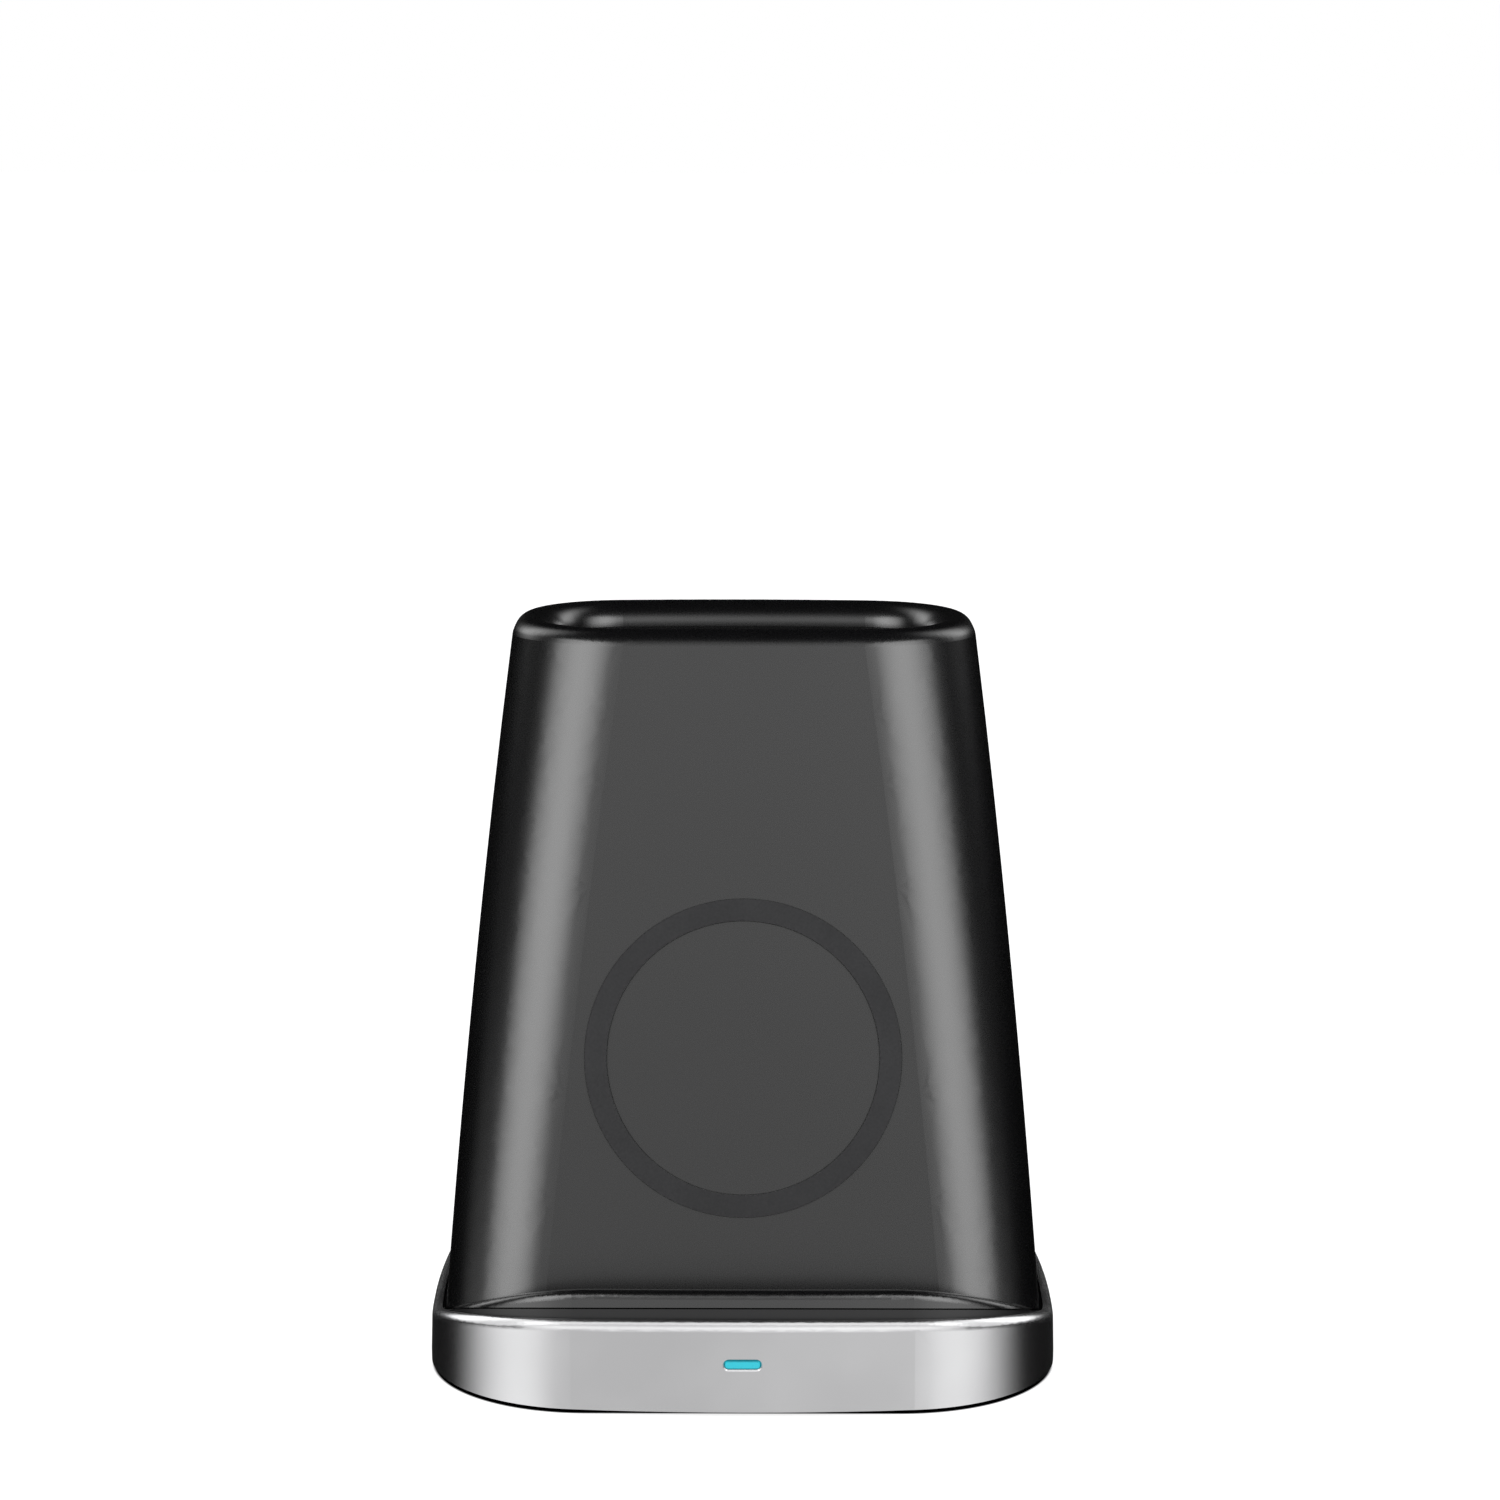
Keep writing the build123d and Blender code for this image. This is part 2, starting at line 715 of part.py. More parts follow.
with BuildPart() as driver_chips:
    with BuildSketch(board_plane):
        with Locations((0, -board_parts_spacing)):
            with GridLocations(driver_spacing, driver_spacing, 2, 1):
                Rectangle(driver_size, driver_size)
    extrude(amount=chip_height)

driver_chips.part.label = "driver_chips"
export_step(driver_chips.part, "parts/driver_chips.step")

with BuildPart() as power_inductor:
    with BuildSketch(board_plane):
        with Locations((board_parts_spacing, board_parts_spacing)):
            RectangleRounded(inductor_size, inductor_size, inductor_size / 8)
    extrude(amount=inductor_height - inductor_step)
    with BuildSketch(board_plane.offset(inductor_height - inductor_step)):
        with Locations((board_parts_spacing, board_parts_spacing)):
            Circle(inductor_core / 2)
    extrude(amount=inductor_step)

power_inductor.part.label = "power_inductor"
export_step(power_inductor.part, "parts/power_inductor.step")

with BuildPart() as resonant_capacitors:
    with BuildSketch(board_plane):
        with Locations((-board_parts_spacing, board_parts_spacing)):
            with GridLocations(capacitor_pitch, capacitor_pitch, 2, 2):
                Rectangle(capacitor_width, capacitor_length)
    extrude(amount=capacitor_height)

resonant_capacitors.part.label = "resonant_capacitors"
export_step(resonant_capacitors.part, "parts/resonant_capacitors.step")

# Supply socket: metal shell and its contact tongue, on the board's rear edge
socket_level = board_top + socket_height / 2
socket_mouth_y = rear_wall_y(socket_level) - socket_recess
socket_plane = Plane(origin=(0, socket_mouth_y, socket_level), x_dir=(-1, 0, 0), z_dir=(0, 1, 0))

with BuildPart() as socket_shell:
    with BuildSketch(socket_plane):
        RectangleRounded(socket_width, socket_height, socket_corner)
        RectangleRounded(
            socket_width - 2 * socket_wall,
            socket_height - 2 * socket_wall,
            socket_corner - socket_wall,
            mode=Mode.SUBTRACT,
        )
    extrude(amount=-socket_length)

socket_shell.part.label = "socket_shell"
export_step(socket_shell.part, "parts/socket_shell.step")

with BuildPart() as socket_tongue:
    with BuildSketch(socket_plane.offset(-tongue_recess)):
        RectangleRounded(tongue_width, tongue_thickness, tongue_thickness / 4)
    extrude(amount=-socket_length + tongue_recess)
    with BuildSketch(socket_plane.offset(-socket_length)):
        RectangleRounded(
            socket_width - 2 * socket_wall - 2 * tongue_gap,
            socket_height - 2 * socket_wall - 2 * tongue_gap,
            socket_corner - socket_wall - tongue_gap,
        )
    extrude(amount=tongue_block)

socket_tongue.part.label = "socket_tongue"
export_step(socket_tongue.part, "parts/socket_tongue.step")

# Status light: side-firing lamp on the board's front edge, and the light pipe in the ring's slot
with BuildPart() as status_lamp:
    with BuildSketch(board_plane):
        with Locations((0, (led_depth - board_length) / 2)):
            Rectangle(led_width, led_depth)
    extrude(amount=led_height)

status_lamp.part.label = "status_lamp"
export_step(status_lamp.part, "parts/status_lamp.step")

with BuildPart() as light_pipe:
    with BuildSketch(Plane.XZ.offset(-front_y - light_recess)):
        with Locations((0, light_level)):
            SlotOverall(light_width - 2 * light_gap, light_height - 2 * light_gap)
    extrude(amount=-(light_block_front_y - front_y - light_recess))
    with BuildSketch(Plane.XZ.offset(-light_block_front_y)):
        with Locations((0, light_bottom + light_block_height / 2)):
            RectangleRounded(light_block_width, light_block_height, light_block_height / 8)
    extrude(amount=-(board_front_y - led_gap - light_block_front_y))

light_pipe.part.label = "light_pipe"
export_step(light_pipe.part, "parts/light_pipe.step")

# Coils: the upper one lies in front, the lower one behind it, and the ferrite behind both
with BuildPart() as coil_upper:
    with BuildSketch(rest_plane.offset(-coil_front_depth)):
        with Locations((0, coil_upper_up)):
            Circle(coil_outer / 2)
            Circle(coil_inner / 2, mode=Mode.SUBTRACT)
    extrude(amount=-coil_thickness)

coil_upper.part.label = "coil_upper"
export_step(coil_upper.part, "parts/coil_upper.step")

with BuildPart() as coil_lower:
    with BuildSketch(rest_plane.offset(-coil_rear_depth)):
        with Locations((0, coil_lower_up)):
            Circle(coil_outer / 2)
            Circle(coil_inner / 2, mode=Mode.SUBTRACT)
    extrude(amount=-coil_thickness)

coil_lower.part.label = "coil_lower"
export_step(coil_lower.part, "parts/coil_lower.step")

with BuildPart() as ferrite_sheet:
    with BuildSketch(rest_plane.offset(-ferrite_depth)):
        with Locations((0, (coil_lower_up + coil_upper_up) / 2)):
            RectangleRounded(
                coil_outer + 2 * ferrite_margin,
                coil_upper_up - coil_lower_up + coil_outer + 2 * ferrite_margin,
                ferrite_corner,
            )
    extrude(amount=-ferrite_thickness)

ferrite_sheet.part.label = "ferrite_sheet"
export_step(ferrite_sheet.part, "parts/ferrite_sheet.step")

with BuildPart() as thermistor:
    with BuildSketch(rest_plane.offset(-coil_front_depth)):
        with Locations((0, coil_lower_up - thermistor_below)):
            Circle(thermistor_diameter / 2)
    extrude(amount=-thermistor_thickness)

thermistor.part.label = "thermistor"
export_step(thermistor.part, "parts/thermistor.step")

# Coil bracket: plate with four ears, screwed to the posts behind the rest face
with BuildPart() as coil_bracket:
    with BuildSketch(rest_plane.offset(-bracket_depth)):
        with Locations((0, (bracket_foot_up + bracket_head_up) / 2)):
            RectangleRounded(
                coil_outer + 2 * ferrite_margin, bracket_head_up - bracket_foot_up, ferrite_corner
            )
        for up in (bracket_post_low_up, bracket_post_high_up):
            with Locations((0, up)):
                SlotOverall(2 * bracket_post_across + bracket_ear_width, bracket_ear_width)
        for up in (coil_lower_up, coil_upper_up):
            with Locations((0, up)):
                Circle(bracket_window / 2, mode=Mode.SUBTRACT)
        with Locations(*bracket_post_places):
            Circle(bracket_screw_shank / 2 + screw_clearance, mode=Mode.SUBTRACT)
    extrude(amount=-bracket_thickness)

coil_bracket.part.label = "coil_bracket"
export_step(coil_bracket.part, "parts/coil_bracket.step")

with BuildPart() as bracket_screws:
    add(
        screw_group(
            rest_plane.offset(-bracket_rear_depth - bracket_screw_head_height),
            bracket_post_places,
            bracket_screw_head,
            bracket_screw_head_height,
            bracket_screw_shank,
            bracket_thickness + bracket_screw_bite,
        )
    )

bracket_screws.part.label = "bracket_screws"
export_step(bracket_screws.part, "parts/bracket_screws.step")


def coil_lead(across, start_up, depth):
    """Wire that runs down behind the rest face and stands on the board."""
    start = rest_plane.from_local_coords((across, start_up, -depth))
    turn = rest_plane.from_local_coords((across, lead_turn_up, -depth))
    with BuildPart() as lead:
        with BuildLine() as path:
            FilletPolyline(start, turn, (turn.X, turn.Y, board_top), radius=lead_bend)
        with BuildSketch(Plane(origin=start, z_dir=path.line % 0)):
            Circle(lead_diameter / 2)
        sweep()
    return lead.part


lower_lead_depth = coil_rear_depth + coil_thickness / 2
upper_lead_depth = coil_front_depth + coil_thickness / 2
lower_lead_up = coil_lower_up - coil_outer / 2 - coil_gap
upper_lead_across = coil_outer / 2 + lead_gap + lead_diameter / 2

with BuildPart() as coil_lower_leads:
    for side in (-1, 1):
        add(coil_lead(side * lead_spacing / 2, lower_lead_up, lower_lead_depth))

coil_lower_leads.part.label = "coil_lower_leads"
export_step(coil_lower_leads.part, "parts/coil_lower_leads.step")

with BuildPart() as coil_upper_leads:
    for side in (-1, 1):
        add(coil_lead(side * upper_lead_across, coil_upper_up, upper_lead_depth))

coil_upper_leads.part.label = "coil_upper_leads"
export_step(coil_upper_leads.part, "parts/coil_upper_leads.step")

# Pads: a strip on the ledge and a ring round the charging spot
with BuildPart() as ledge_pad:
    with BuildSketch(ledge_plane.offset(-pad_recess)):
        with Locations((0, -ledge_depth / 2)):
            RectangleRounded(ledge_pad_length, ledge_pad_width, ledge_pad_corner)
    extrude(amount=pad_thickness)

ledge_pad.part.label = "ledge_pad"
export_step(ledge_pad.part, "parts/ledge_pad.step")

with BuildPart() as rest_pad:
    with BuildSketch(rest_plane.offset(-pad_recess)):
        with Locations((0, coil_lower_up)):
            Circle(rest_pad_outer / 2)
            Circle(rest_pad_outer / 2 - rest_pad_band, mode=Mode.SUBTRACT)
    extrude(amount=pad_thickness)

rest_pad.part.label = "rest_pad"
export_step(rest_pad.part, "parts/rest_pad.step")

# Feet
foot_names = ("foot_front_left", "foot_rear_left", "foot_front_right", "foot_rear_right")
for foot_name, foot_place in zip(foot_names, foot_places):
    with BuildPart() as foot:
        with BuildSketch():
            with Locations(foot_place):
                Circle(foot_diameter / 2)
        extrude(amount=cover_bottom + foot_recess)
        fillet(foot.faces().sort_by(Axis.Z)[0].edges(), foot_lift / 2)

    foot.part.label = foot_name
    export_step(foot.part, f"parts/{foot_name}.step")
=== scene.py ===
import bpy
import math
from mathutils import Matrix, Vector


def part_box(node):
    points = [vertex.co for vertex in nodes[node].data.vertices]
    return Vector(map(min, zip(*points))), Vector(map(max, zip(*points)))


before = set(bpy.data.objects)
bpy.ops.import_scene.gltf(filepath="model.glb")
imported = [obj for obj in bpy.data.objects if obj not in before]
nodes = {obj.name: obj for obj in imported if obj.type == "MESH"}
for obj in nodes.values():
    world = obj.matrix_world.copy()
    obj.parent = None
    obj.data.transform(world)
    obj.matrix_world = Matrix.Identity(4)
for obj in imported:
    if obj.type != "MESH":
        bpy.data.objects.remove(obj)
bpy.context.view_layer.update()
mm = 0.001
white = (1, 1, 1, 1)
black = (0, 0, 0, 1)


def toLinear(hexColour):
    # sRGB hex to the linear values that the shaders want
    channels = [int(hexColour[i : i + 2], 16) / 255 for i in (1, 3, 5)]
    linear = [c / 12.92 if c <= 0.04045 else ((c + 0.055) / 1.055) ** 2.4 for c in channels]
    return (*linear, 1.0)


def addNode(tree, kind, settings=None, links=None, stops=()):
    # one node: its settings, the sockets that feed its inputs, and for a colour ramp its stops,
    # each a place from 0 to 1 with a hex colour or a grey value
    node = tree.nodes.new(kind)
    for name, value in (settings or {}).items():
        if hasattr(node, str(name)):
            setattr(node, name, value)
        else:
            node.inputs[name].default_value = value
    for name, socket in (links or {}).items():
        tree.links.new(socket, node.inputs[name])
    if stops:
        elements = node.color_ramp.elements
        while len(elements) < len(stops):
            elements.new(0.5)
        for element, (place, colour) in zip(elements, stops):
            element.position = place
            element.color = toLinear(colour) if isinstance(colour, str) else (colour, colour, colour, 1)
    return node


def startMaterial(name, sockets):
    # a material with its surface shader, whose constant sockets are set here
    material = bpy.data.materials.new(name)
    material.use_nodes = True
    tree = material.node_tree
    surface = tree.nodes["Principled BSDF"]
    for socket, value in sockets.items():
        surface.inputs[socket].default_value = value
    return material, tree, surface


def objectPlace(tree, centre=(0, 0, 0), tilt=0.0):
    # object coordinates in metres, moved to a centre and turned about X
    coords = addNode(tree, "ShaderNodeTexCoord").outputs["Object"]
    moved = addNode(tree, "ShaderNodeVectorMath", {"operation": "SUBTRACT", 1: tuple(centre)}, {0: coords})
    turn = {"Rotation": (tilt, 0, 0)}
    turned = addNode(tree, "ShaderNodeMapping", turn, {"Vector": moved.outputs["Vector"]})
    return turned.outputs["Vector"]


def finishGrain(tree, surface, look, grain, height):
    # roughness follows a grain between the look's two values, and a bump follows a height;
    # the grain is a noise, which keeps mostly between 0.3 and 0.7
    reach = {"From Min": 0.3, "From Max": 0.7, "To Min": look["smooth"], "To Max": look["rough"]}
    roughness = addNode(tree, "ShaderNodeMapRange", reach, {"Value": grain})
    tree.links.new(roughness.outputs["Result"], surface.inputs["Roughness"])
    relief = {"Strength": look["bump"], "Distance": look["grainDepth"] * mm}
    bump = addNode(tree, "ShaderNodeBump", relief, {"Height": height})
    tree.links.new(bump.outputs["Normal"], surface.inputs["Normal"])


def finishSurface(tree, surface, look, place=None):
    # cloudy colour and a fine grain
    place = {"Vector": place or objectPlace(tree)}
    clouds = {"Scale": 1 / (look["cloudSize"] * mm), "Detail": 3.0}
    cloud = addNode(tree, "ShaderNodeTexNoise", clouds, place).outputs["Fac"]
    grains = {"Scale": 1 / (look["grainSize"] * mm), "Detail": 4.0}
    grain = addNode(tree, "ShaderNodeTexNoise", grains, place).outputs["Fac"]
    colours = [(0.35, look["dark"]), (0.65, look["light"])]
    colour = addNode(tree, "ShaderNodeValToRGB", links={"Fac": cloud}, stops=colours)
    tree.links.new(colour.outputs["Color"], surface.inputs["Base Color"])
    finishGrain(tree, surface, look, grain, grain)


def dress(material, *names):
    # gives CAD nodes the material, in the slots that they already have
    for name in names:
        slots = nodes[name].data.materials
        for i in range(len(slots)):
            slots[i] = material


def finishPieces(name, sockets, look, *names):
    # a whole material of clouds and grain, given to the pieces that are made of it
    material, tree, surface = startMaterial(name, sockets)
    finishSurface(tree, surface, look)
    dress(material, *names)


def seenDirectly(tree):
    # 1 for what the camera sees, also through clear pieces, and 0 for all other light
    rays = addNode(tree, "ShaderNodeLightPath").outputs
    either = {0: rays["Is Camera Ray"], 1: rays["Is Transmission Ray"]}
    return addNode(tree, "ShaderNodeMath", {"operation": "MAXIMUM"}, either).outputs["Value"]


# Camera

camera = {
    "place": (0.0, -0.5074, 0.16955),
    "pitch": 9.6,  # degrees below the horizon
    "roll": 0.12,
    "lens": 86.06,
    "sensor": 36.0,
    "shift": 0.0041,
    "near": 0.01,
    "far": 20.0,
}
cameraData = bpy.data.cameras.new("camera")
cameraData.lens = camera["lens"]
cameraData.sensor_width = camera["sensor"]
cameraData.shift_x = camera["shift"]
cameraData.clip_start = camera["near"]
cameraData.clip_end = camera["far"]
cameraObject = bpy.data.objects.new("camera", cameraData)
cameraObject.location = camera["place"]
cameraObject.rotation_euler = (math.radians(90 - camera["pitch"]), 0, 0)
cameraObject.rotation_euler.rotate_axis("Z", math.radians(camera["roll"]))
bpy.context.scene.collection.objects.link(cameraObject)
bpy.context.scene.camera = cameraObject
bpy.context.scene.view_settings.view_transform = "Standard"
print("camera placed")

# Lights: the fills and the overhead one light matt colour, and the others show as gloss only

aim = Vector((0.0, 0.0, 0.055))
lamps = {
    # azimuth from the camera's side, elevation, distance, width, height, radiance, lights matt colour
    "fillLeft": (-40, 35, 0.8, 0.4, 0.5, 1.4, True),
    "fillRight": (40, 35, 0.8, 0.4, 0.5, 1.4, True),
    "overhead": (180, 84, 0.8, 0.5, 0.5, 1.2, True),
    "softLeft": (-48, 22, 0.6, 0.68, 0.54, 3.6, False),
    "softRight": (44, 22, 0.6, 0.68, 0.54, 3.4, False),
    "edgeFront": (0, 30, 0.7, 1.8, 0.85, 1.05, False),
    "edgeHigh": (0, 74, 0.7, 1.2, 0.36, 1.6, False),
    "edgeLeft": (-105, 38, 0.7, 1.2, 0.8, 1.3, False),
    "edgeRight": (105, 38, 0.7, 1.2, 0.8, 1.3, False),
}


def polar(azimuth, elevation, distance):
    # a place at two angles, in degrees, and a distance from the aim
    a, e = math.radians(azimuth), math.radians(elevation)
    outward = Vector((math.sin(a) * math.cos(e), -math.cos(a) * math.cos(e), math.sin(e)))
    return aim + outward * distance


# the edge lights touch only the ring, for its rounded edge, and the soft pair all but the ring
ringLit = bpy.data.collections.new("ringLit")
bodyLit = bpy.data.collections.new("bodyLit")
for name, node in nodes.items():
    (ringLit if name == "base_ring" else bodyLit).objects.link(node)

for name, (azimuth, elevation, distance, width, height, radiance, forMatt) in lamps.items():
    lamp = bpy.data.lights.new(name, "AREA")
    lamp.shape = "RECTANGLE"
    lamp.size = width
    lamp.size_y = height
    lamp.energy = radiance * math.pi * width * height
    lampObject = bpy.data.objects.new(name, lamp)
    lampObject.location = polar(azimuth, elevation, distance)
    lampObject.rotation_euler = (aim - lampObject.location).to_track_quat("-Z", "Y").to_euler()
    lampObject.visible_camera = False
    lampObject.visible_glossy = not forMatt
    lampObject.visible_diffuse = forMatt
    if name.startswith("soft"):
        # brightest in the middle of its width, and nothing at both ends
        lamp.use_nodes = True
        glass = lamp.node_tree
        spot = addNode(glass, "ShaderNodeNewGeometry").outputs["Parametric"]
        across = addNode(glass, "ShaderNodeSeparateXYZ", links={0: spot}).outputs["X"]
        centred = {"operation": "MULTIPLY_ADD", 1: 2.0, 2: -1.0}
        aside = addNode(glass, "ShaderNodeMath", centred, {0: across}).outputs["Value"]
        squared = {"operation": "POWER", 1: 2.0}
        loss = addNode(glass, "ShaderNodeMath", squared, {0: aside}).outputs["Value"]
        whatIsLeft = {"operation": "SUBTRACT", 0: 1.0, "use_clamp": True}
        share = addNode(glass, "ShaderNodeMath", whatIsLeft, {1: loss}).outputs["Value"]
        glass.links.new(share, glass.nodes["Emission"].inputs["Strength"])
    if not forMatt:
        lampObject.light_linking.receiver_collection = ringLit if name.startswith("edge") else bodyLit
    bpy.context.scene.collection.objects.link(lampObject)

# World: plain white, and for glossy surfaces a drawn studio, alike on the left and on the right

studio = {
    "plainSky": 0.62,  # brightness that lights matt colour
    "glossTop": 2.0,  # brightness that a 1 in the profiles below stands for
    "turn": 2.0,  # degrees that the walls are turned, because the right light is nearer the front
    "groundTurn": 5.0,
    "horizon": 4.0,  # degrees over which the ground fades into the wall
    # degrees round from the camera's side, and brightness: a wall in front, soft lights high
    # behind and a pale ground
    "wallRound": [(0, 0.46), (26, 0.46), (60, 0.08), (90, 0.0), (180, 0.0)],
    "rearRound": [
        (0, 0.0),
        (98, 0.0),
        (108, 0.25),
        (120, 0.85),
        (134, 0.9),
        (144, 0.4),
        (153, 0.05),
        (160, 0.0),
    ],
    "groundRound": [
        (0, 0.48),
        (16, 0.5),
        (25, 0.6),
        (32, 0.72),
        (39, 0.8),
        (55, 0.81),
        (66, 0.7),
        (75, 0.54),
        (84, 0.36),
        (93, 0.18),
        (103, 0.04),
        (110, 0.0),
    ],
    # degrees above the horizon, or below it for the ground, and how much is left there
    "wallRise": [
        (0, 0.5),
        (10, 0.6),
        (17, 0.76),
        (19, 0.84),
        (22, 1.0),
        (27, 1.0),
        (40, 0.5),
        (52, 0.1),
        (62, 0.0),
    ],
    "rearRise": [(0, 0.0), (5, 0.0), (11, 0.2), (17, 0.8), (22, 1.0), (36, 1.0), (48, 0.5), (60, 0.0)],
    "groundDrop": [(0, 1.0), (40, 1.0), (60, 0.3), (72, 0.0)],
}
world = bpy.data.worlds.new("studio")
world.use_nodes = True
bpy.context.scene.world = world
sky = world.node_tree
towards = addNode(sky, "ShaderNodeTexCoord").outputs["Generated"]


def angleRound(turn):
    # angle round from the camera's side, which a turn in degrees moves, and the height
    turned = addNode(sky, "ShaderNodeMapping", {"Rotation": (0, 0, math.radians(turn))}, {"Vector": towards})
    parts = addNode(sky, "ShaderNodeSeparateXYZ", links={0: turned.outputs["Vector"]}).outputs
    aside = addNode(sky, "ShaderNodeMath", {"operation": "ABSOLUTE"}, {0: parts["X"]})
    ahead = addNode(sky, "ShaderNodeMath", {"operation": "MULTIPLY", 1: -1.0}, {0: parts["Y"]})
    sides = {0: aside.outputs["Value"], 1: ahead.outputs["Value"]}
    return addNode(sky, "ShaderNodeMath", {"operation": "ARCTAN2"}, sides).outputs["Value"], parts["Z"]


def profile(angle, reach, stops):
    # grey over an angle up to its reach, whose stops are (degrees, value)
    share = addNode(sky, "ShaderNodeMath", {"operation": "DIVIDE", 1: math.radians(reach)}, {0: angle})
    spread = [(degrees / reach, value) for degrees, value in stops]
    ramp = addNode(sky, "ShaderNodeValToRGB", links={"Fac": share.outputs["Value"]}, stops=spread)
    return ramp.outputs["Color"]


roundSky, height = angleRound(studio["turn"])
roundGround, height = angleRound(studio["groundTurn"])
rise = addNode(sky, "ShaderNodeMath", {"operation": "ARCSINE"}, {0: height}).outputs["Value"]
drop = addNode(sky, "ShaderNodeMath", {"operation": "MULTIPLY", 1: -1.0}, {0: rise}).outputs["Value"]
above = addNode(sky, "ShaderNodeMath", {"operation": "MAXIMUM", 1: 0.0}, {0: rise}).outputs["Value"]
below = addNode(sky, "ShaderNodeMath", {"operation": "MAXIMUM", 1: 0.0}, {0: drop}).outputs["Value"]
glossParts = []
for around, roundStops, upright, uprightStops in (
    (roundSky, "wallRound", above, "wallRise"),
    (roundSky, "rearRound", above, "rearRise"),
    (roundGround, "groundRound", below, "groundDrop"),
):
    shares = {0: profile(around, 180, studio[roundStops]), 1: profile(upright, 90, studio[uprightStops])}
    part = addNode(sky, "ShaderNodeMath", {"operation": "MULTIPLY"}, shares)
    glossParts.append(part.outputs["Value"])
wallPart, rearPart, groundPart = glossParts
upperPart = addNode(sky, "ShaderNodeMath", {"operation": "ADD"}, {0: wallPart, 1: rearPart})
fade = math.radians(studio["horizon"])
aboveShare = addNode(sky, "ShaderNodeMapRange", {"From Min": -fade, "From Max": fade}, {"Value": rise})
halves = {0: aboveShare.outputs["Result"], 2: groundPart, 3: upperPart.outputs["Value"]}
glossSky = addNode(sky, "ShaderNodeMix", {"data_type": "FLOAT"}, halves).outputs[0]
brighten = {"operation": "MULTIPLY", 1: studio["glossTop"]}
glossLevel = addNode(sky, "ShaderNodeMath", brighten, {0: glossSky}).outputs["Value"]
plainReach = {"To Min": studio["plainSky"], "To Max": 1.0}
plainLevel = addNode(sky, "ShaderNodeMapRange", plainReach, {"Value": seenDirectly(sky)}).outputs["Result"]
isGlossy = addNode(sky, "ShaderNodeLightPath").outputs["Is Glossy Ray"]
levels = {0: isGlossy, 2: plainLevel, 3: glossLevel}
level = addNode(sky, "ShaderNodeMix", {"data_type": "FLOAT"}, levels).outputs[0]
background = sky.nodes["Background"]
background.inputs["Color"].default_value = white
sky.links.new(level, background.inputs["Strength"])

# Floor: white paper, which glossy surfaces see as the pale ground of the sky above, with a painted contact
# shadow under the object

paper = {
    "size": 40.0,
    "colour": "#D2D2D2",
    "glow": 0.75,  # seen by the camera and through clear pieces
    # painted contact shadow under the object, black and without glow, in mm: half its width, its corners,
    # and how soft its edge is
    "footprint": 43.7,
    "corner": 22.4,
    "soft": 0.2,
}
paperSweep, tree, surface = startMaterial(
    "paperSweep", {"Roughness": 1.0, "Specular IOR Level": 0.0, "Emission Color": white}
)
straight = (paper["footprint"] - paper["corner"]) * mm
aside = addNode(tree, "ShaderNodeVectorMath", {"operation": "ABSOLUTE"}, {0: objectPlace(tree)})
inward = {"operation": "SUBTRACT", 1: (straight, straight, 0)}
past = addNode(tree, "ShaderNodeVectorMath", inward, {0: aside.outputs["Vector"]})
outward = {"operation": "MAXIMUM", 1: (0, 0, 0)}
beyond = addNode(tree, "ShaderNodeVectorMath", outward, {0: past.outputs["Vector"]})
span = addNode(tree, "ShaderNodeVectorMath", {"operation": "LENGTH"}, {0: beyond.outputs["Vector"]})
outline = {
    "From Min": (paper["corner"] - paper["soft"]) * mm,
    "From Max": (paper["corner"] + paper["soft"]) * mm,
}
outsidePaintedShadow = addNode(tree, "ShaderNodeMapRange", outline, {"Value": span.outputs["Value"]}).outputs["Result"]
dim = {"operation": "MULTIPLY", 1: paper["glow"]}
dimmed = addNode(tree, "ShaderNodeMath", dim, {0: seenDirectly(tree)}).outputs["Value"]
glow = addNode(tree, "ShaderNodeMath", {"operation": "MULTIPLY"}, {0: dimmed, 1: outsidePaintedShadow})
tree.links.new(glow.outputs["Value"], surface.inputs["Emission Strength"])
# inside the footprint the paper turns black and its glow is off: a painted contact shadow
paintedShadowToPaper = {"data_type": "RGBA", 6: black, 7: toLinear(paper["colour"])}
colour = addNode(tree, "ShaderNodeMix", paintedShadowToPaper, {0: outsidePaintedShadow}).outputs[2]
tree.links.new(colour, surface.inputs["Base Color"])
bpy.ops.object.select_all(action="DESELECT")
bpy.ops.mesh.primitive_plane_add(size=paper["size"])
floor = bpy.context.active_object
floor.name = "floor"
floor.data.materials.append(paperSweep)
floor.visible_glossy = False

# Two white cards behind, seen by reflections only, that show the rear of the ring and the body

rearCards = {
    # middle, width, length, degrees that it is tipped up, brightness
    "groundCard": ((0, 0.083, 0.0003), 0.072, 0.074, 0, 0.9),
    "wallCard": ((0, 0.16, 0.044), 0.048, 0.088, 90, 0.8),
}
for name, (middle, width, length, tip, bright) in rearCards.items():
    cardboard, tree, surface = startMaterial(
        name, {"Base Color": black, "Emission Color": white, "Emission Strength": bright}
    )
    bpy.ops.mesh.primitive_plane_add(size=1.0, location=middle, rotation=(math.radians(tip), 0, 0))
    card = bpy.context.active_object
    card.name = name
    card.scale = (width, length, 1.0)
    card.data.materials.append(cardboard)
    card.visible_camera = False
    card.visible_diffuse = False
    card.visible_transmission = False
    card.visible_shadow = False
print("studio set")

# Body and rim: ABS moulded in a finely etched tool, so it is satin black with a faint grain

body = {
    "dark": "#050506",
    "light": "#08080A",
    "cloudSize": 18.0,
    "grainSize": 0.22,  # the etch is about 0.05 mm, drawn coarser so that it shows
    "grainDepth": 0.012,
    "bump": 0.06,
    "smooth": 0.26,
    "rough": 0.3,
}
satinTop = {"IOR": 1.5, "Coat Weight": 1.0, "Coat Roughness": 0.26, "Coat IOR": 1.5}
finishPieces("etchedAbs", satinTop, body, "housing")

# Liner of the cup: the same ABS from a less polished tool, which swallows the light in the cup

liner = dict(body, dark="#0E0E0F", light="#121213", smooth=0.5, rough=0.62, grainSize=0.3)
finishPieces("mattAbs", {"IOR": 1.5}, liner, "pen_cup")

